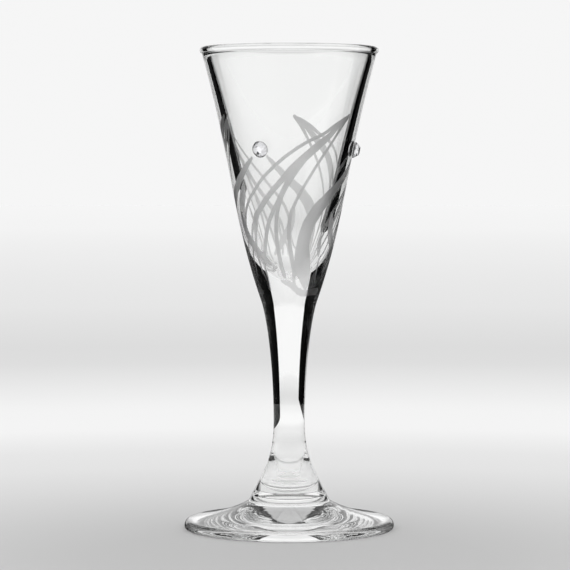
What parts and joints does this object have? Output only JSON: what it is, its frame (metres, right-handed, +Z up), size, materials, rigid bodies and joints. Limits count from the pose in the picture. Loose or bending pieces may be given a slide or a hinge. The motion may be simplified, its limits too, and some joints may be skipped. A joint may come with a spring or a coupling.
{
  "type": "stemmed spirits glass",
  "caption": "Clear stemmed spirits glass: tapered bowl, slender solid stem and round foot, with faceted flat-back crystals bonded round the bowl.",
  "frame": {"origin": "middle of the flat ring that the foot rests on", "axes": "+Z up the axis of the glass, -Y towards the front as pictured, +X to the right of it"},
  "size_m": [0.0626, 0.0626, 0.1435],
  "materials": {
    "clear_glass": "polished clear glass with sand-blasted matt scrolls on the bowl",
    "cut_crystal": "polished cut crystal",
    "mirror_foil": "silver mirror foil",
    "clear_bond": "clear cured adhesive"
  },
  "bodies": {
    "root": {"bowl": "clear_glass", "stem": "clear_glass", "foot": "clear_glass", "front_crystal": "cut_crystal", "right_crystal": "cut_crystal", "rear_crystal": "cut_crystal", "front_foil": "mirror_foil", "right_foil": "mirror_foil", "rear_foil": "mirror_foil", "front_bond": "clear_bond", "right_bond": "clear_bond", "rear_bond": "clear_bond"}
  },
  "joints": []
}
